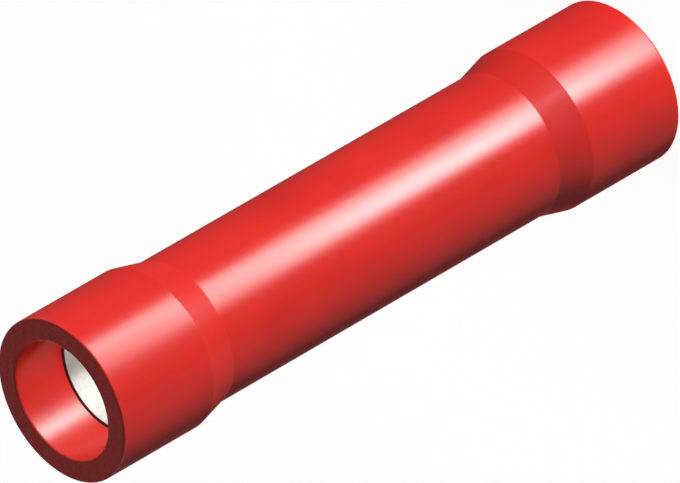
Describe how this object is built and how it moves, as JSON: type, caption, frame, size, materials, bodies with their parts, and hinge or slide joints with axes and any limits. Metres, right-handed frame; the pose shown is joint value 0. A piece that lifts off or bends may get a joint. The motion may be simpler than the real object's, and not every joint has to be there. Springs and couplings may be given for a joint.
{
  "type": "butt splice connector",
  "caption": "Insulated butt splice: a necked vinyl sleeve with belled ends around a plated crimp barrel and support sleeves, joins two wires end to end.",
  "frame": {"origin": "centre of the lower end face, on the surface that the connector stands on", "axes": "+Z along the connector's axis, from the lower wire entry to the upper one"},
  "size_m": [0.0058, 0.0056, 0.025],
  "materials": {
    "red_vinyl": "smooth extruded vinyl, glossy",
    "tinned_copper": "tin-plated copper, satin",
    "bright_tin": "tin-plated copper, bright"
  },
  "bodies": {
    "root": {"insulating_sleeve": "red_vinyl", "wire_barrel": "tinned_copper", "upper_support_sleeve": "bright_tin", "lower_support_sleeve": "bright_tin"}
  },
  "joints": []
}
